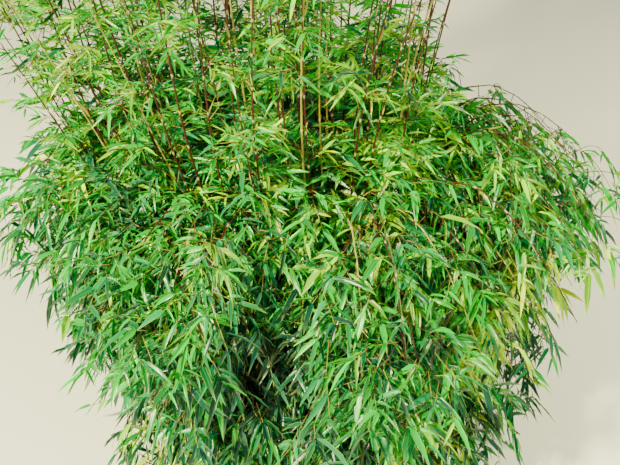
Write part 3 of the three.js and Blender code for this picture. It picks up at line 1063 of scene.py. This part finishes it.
def sheaths_of(cane, number):
    """Direction at one node in four: the cane's tangent + spread x a level one by chance."""
    length = step_lengths(cane["line"]).sum()
    share = np.arange(2, int(length / INTERNODE)) * INTERNODE / length
    share = share[chance(share * 50, number) > SHEATHED_ABOVE]
    root, tangent = walk(cane["line"], share)
    seed = number * 31.0 + share * 100
    direction = unit(tangent + SHEATH_SPREAD * around(seed * 5, 1.0, 0.0))
    return {"root": root, "direction": direction, "length": varied(0.02, 0.03, seed, 61),
            "droop": np.full(len(seed), 0.02), "seed": seed}


sheaths = gathered([sheaths_of(cane, number) for number, cane in enumerate(canes)])
points, faces = blades(sheaths, width_share=0.13, fold=0.8, roll=6.2, twist=0.4)
cane_solids = [f"cane_{owner}" for owner in own_canes]
make_piece("sheaths", points, faces, cane_finishes["gold"], cane_solids)

# %% [markdown]
# ## The pot
# The pot is thrown stoneware: a tapering wall with a rounded band at its rim. A lathe turns one
# profile about the axis. The profile follows the solid's outline, with its corners rounded and
# fine throwing rings on the wall, because a plain cone would look cast.

# %% Turning a profile
def rounded(corners, radii, steps=7):
    """Corners replaced by quadratic curves that start and end a radius away from them."""
    corners = np.array(corners)
    outline = [corners[:1]]
    for before, corner, after, radius in zip(corners, corners[1:], corners[2:], radii):
        start = corner + unit(before - corner) * radius
        end = corner + unit(after - corner) * radius
        t = np.linspace(0, 1, steps)[:, None]
        outline.append((1 - t) ** 2 * start + 2 * t * (1 - t) * corner + t**2 * end)
    return np.concatenate(outline + [corners[-1:]])


def refined(outline, step):
    """The outline with more points, one at every step of its length."""
    run = np.concatenate([[0], np.cumsum(step_lengths(outline))])
    at = np.unique(np.concatenate([run, np.arange(0, run[-1], step)]))
    return np.stack([np.interp(at, run, outline[:, k]) for k in (0, 1)], axis=-1)


def turned(outline, sides):
    """A closed surface: the outline turned about the axis, which it starts and ends on."""
    angle = np.arange(sides) / sides * 2 * math.pi
    body = outline[1:-1]
    ring = around(angle[None], body[:, :1], body[:, 1:])
    points = np.concatenate([ring.reshape(-1, 3), [[0, 0, outline[0, 1]], [0, 0, outline[-1, 1]]]])
    return points, bar_faces(len(body), sides)


# %% Pot
INSIDE_FLOOR = 0.2
BAND_STEP = 0.004
RINGS_FROM = 0.01
WALL_MARGIN = 0.004
RING_PITCH = 0.017
RING_DEPTH = 0.0006
RING_SINK = 0.0002

band = POT_HEIGHT - BAND_HEIGHT
corners = [
    (0, 0), (FOOT_RADIUS, 0), (radius_at(band), band), (radius_at(band) + BAND_PROUD, band + BAND_STEP),
    (RIM_RADIUS + BAND_PROUD, POT_HEIGHT), (RIM_RADIUS - POT_WALL, POT_HEIGHT),
    (radius_at(INSIDE_FLOOR) - POT_WALL, INSIDE_FLOOR), (0, INSIDE_FLOOR),
]
profile = refined(rounded(corners, radii=(0.005, 0.002, 0.003, 0.006, 0.006, 0.004)), step=0.004)
height = profile[:, 1]
on_wall = (height > RINGS_FROM) & (height < band - WALL_MARGIN)
on_wall &= profile[:, 0] > radius_at(height) - WALL_MARGIN
profile[on_wall, 0] += RING_DEPTH * np.sin(height[on_wall] * 2 * math.pi / RING_PITCH) - RING_SINK
pot_points, pot_faces = turned(profile, sides=72)

# %% [markdown]
# ## The finish of the pot
# The photograph hides the pot, so its finish is a plain one of its kind: dark matt stoneware with
# iron speckles. Watering leaves a pale bloom of lime low down, and hands wear the rim.

# %% Pot finish
LIME_COLOUR = (0.27, 0.25, 0.21)
WORN_COLOUR = (0.2, 0.15, 0.11)
base_colour = {row["slot"]: np.array(row["base_color"]) for row in frame["record"]["materials"]}


def tint(slot, factor):
    """A slot's base colour times a number, with full opacity."""
    return opaque(np.clip(base_colour[slot] * factor, 0, 1))


def pot_finish():
    """Clouds of two tones, then the speckles, the lime and the wear, each mixed over the last."""
    pot = Finish("pot_stoneware")
    height = pot.axis(pot.place(), "Z")
    clouds = pot.noise(9.0, 6.0)
    speckle = pot.graded(pot.noise(420.0, 2.0), start=0.6, end=0.68)
    low = pot.graded(height + clouds * 0.12, start=0.02, end=0.16, low=0.5, high=0.0)
    ragged = height + pot.noise(60.0) * 0.006
    worn = pot.graded(ragged, POT_HEIGHT - 0.0005, POT_HEIGHT + 0.004, high=0.5)
    body = pot.mixed(clouds, tint("pot", 0.7), tint("pot", 1.7))
    speckled = pot.mixed(speckle, body, tint("pot", 0.35))
    limed = pot.mixed(low, speckled, opaque(LIME_COLOUR))
    colour = pot.mixed(worn, limed, opaque(WORN_COLOUR))
    bump = pot.bumped(pot.noise(260.0, 4.0), strength=0.35, distance=0.0008)
    return pot.end(pot.skin(colour, 0.62 + clouds * 0.2, bump))


make_piece("pot_wall", pot_points, pot_faces, pot_finish(), ["pot"])

# %% [markdown]
# ## The potting mix
# The mix is dark, moist and crumbly. Its top is a disc of rings and spokes that is lifted by a sum
# of waves of several lengths, so the crumbs are in the mesh and not only in the finish.

# %% Soil
SOIL_RINGS = 60
SOIL_SPOKES = 150
SOIL_DEPTH = 0.03
SOIL_GAP = 0.0008
CRUMB_HEIGHT = 0.0022
SOIL_SINK = 0.002
CRUMB_PITCH = 90


def crumbs(x, y):
    """Waves at five turns, each finer, half as high as the last, and bent by a slower one."""
    total = np.zeros_like(x)
    for octave in range(5):
        turn = octave * GOLDEN_ANGLE
        pitch = CRUMB_PITCH * 1.9**octave
        u = x * math.cos(turn) + y * math.sin(turn)
        v = y * math.cos(turn) - x * math.sin(turn)
        bent = u * pitch + 1.7 * np.sin(v * pitch * 0.6)
        total += np.sin(bent) * np.sin(v * pitch + octave) / 2**octave
    return total


soil_radius = radius_at(SOIL_TOP) - POT_WALL - SOIL_GAP
rows = np.linspace(0, 1, SOIL_RINGS + 1)[1:]
angle = np.arange(SOIL_SPOKES) / SOIL_SPOKES * 2 * math.pi
disc = around(angle[None], soil_radius * rows[::-1, None], SOIL_TOP)
disc[..., 2] += CRUMB_HEIGHT * crumbs(disc[..., 0], disc[..., 1]) - SOIL_SINK
skirt = around(angle[None], np.array([[soil_radius]]), SOIL_TOP - SOIL_DEPTH)
middles = [[0, 0, SOIL_TOP - SOIL_DEPTH], [0, 0, SOIL_TOP]]
soil_points = np.concatenate([skirt.reshape(-1, 3), disc.reshape(-1, 3), middles])


def soil_finish():
    """Near black in the grain's hollows, brown on the crumbs' tops."""
    soil = Finish("soil_crumbly")
    grain = soil.noise(240.0, 5.0)
    colour = soil.mixed(grain, tint("soil", 0.4), tint("soil", 2.6))
    bump = soil.bumped(grain, strength=0.8, distance=0.002)
    return soil.end(soil.skin(colour, 0.8 + grain * 0.15, bump))


soil_faces = bar_faces(SOIL_RINGS + 1, SOIL_SPOKES)
make_piece("soil_top", soil_points, soil_faces, soil_finish(), ["soil"])

# %% [markdown]
# ## The camera
# The photograph looks down on the clump by 30 degrees from about two metres, and cuts off its top
# and its foot. The focal length was measured in its pixels, and is turned into millimetres.

# %% Camera
CAMERA_PLACE = (0.02, -1.97, 1.5)
LOOK_DOWN_DEG = 30
PHOTO_WIDTH_PX = 620
FOCAL_PX = 1000
SENSOR_WIDTH_MM = 36

camera_data = bpy.data.cameras.new("camera")
camera_data.sensor_width = SENSOR_WIDTH_MM
camera_data.lens = SENSOR_WIDTH_MM * FOCAL_PX / PHOTO_WIDTH_PX
camera = put_in_scene("camera", camera_data)
camera.location = CAMERA_PLACE
camera.rotation_euler = (math.radians(90 - LOOK_DOWN_DEG), 0, 0)
bpy.context.scene.camera = camera
print("lens in millimetres:", round(camera_data.lens, 1))

# %% [markdown]
# ## Floor and light
# The floor is plain and pale. A small, strong, warm lamp stands high at the front left, where the
# photograph's light comes from, and a second lights the sprays at the right. A wide weak lamp in
# front and a dim cool room keep the gaps between the leaves dark, but not black.

# %% Floor and lamps
FLOOR_HALF = 12.0
FLOOR_COLOUR = (0.78, 0.77, 0.74)
WARM = (1.0, 0.95, 0.5)
COOL = (0.6, 0.85, 1.0)
LAMPS = (
    ("key_lamp", (-2.9, -3.6, 3.4), (0, 0, 0.5), 0.35, 1500, WARM),
    ("fill_lamp", (2.2, -3.4, 2.4), (0, 0, 0.5), 3.0, 45, COOL),
    ("side_lamp", (3.8, 0.2, 2.9), (0.1, 0.1, 0.7), 1.0, 480, WARM),
)
ROOM_COLOUR = (0.6, 0.8, 1.0)
ROOM_STRENGTH = 0.2

floor_mesh = bpy.data.meshes.new("floor")
floor_corners = [(x * FLOOR_HALF, y * FLOOR_HALF, 0) for x, y in ((-1, -1), (1, -1), (1, 1), (-1, 1))]
floor_mesh.from_pydata(floor_corners, [], [(0, 1, 2, 3)])
floor_paint = Finish("floor_paint")
floor_mesh.materials.append(floor_paint.end(floor_paint.skin(opaque(FLOOR_COLOUR), roughness=0.8)))
floor = put_in_scene("floor", floor_mesh)
floor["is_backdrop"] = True

for name, place, target, size, power, colour in LAMPS:
    light = bpy.data.lights.new(name, "AREA")
    light.size = size
    light.energy = power
    light.color = colour
    lamp = put_in_scene(name, light)
    lamp.location = place
    lamp.rotation_euler = (Vector(place) - Vector(target)).to_track_quat("Z", "Y").to_euler()

world = bpy.data.worlds.new("room")
world.use_nodes = True
room_light = world.node_tree.nodes["Background"]
room_light.inputs["Color"].default_value = opaque(ROOM_COLOUR)
room_light.inputs["Strength"].default_value = ROOM_STRENGTH
bpy.context.scene.world = world
print("lamps:", len(LAMPS))
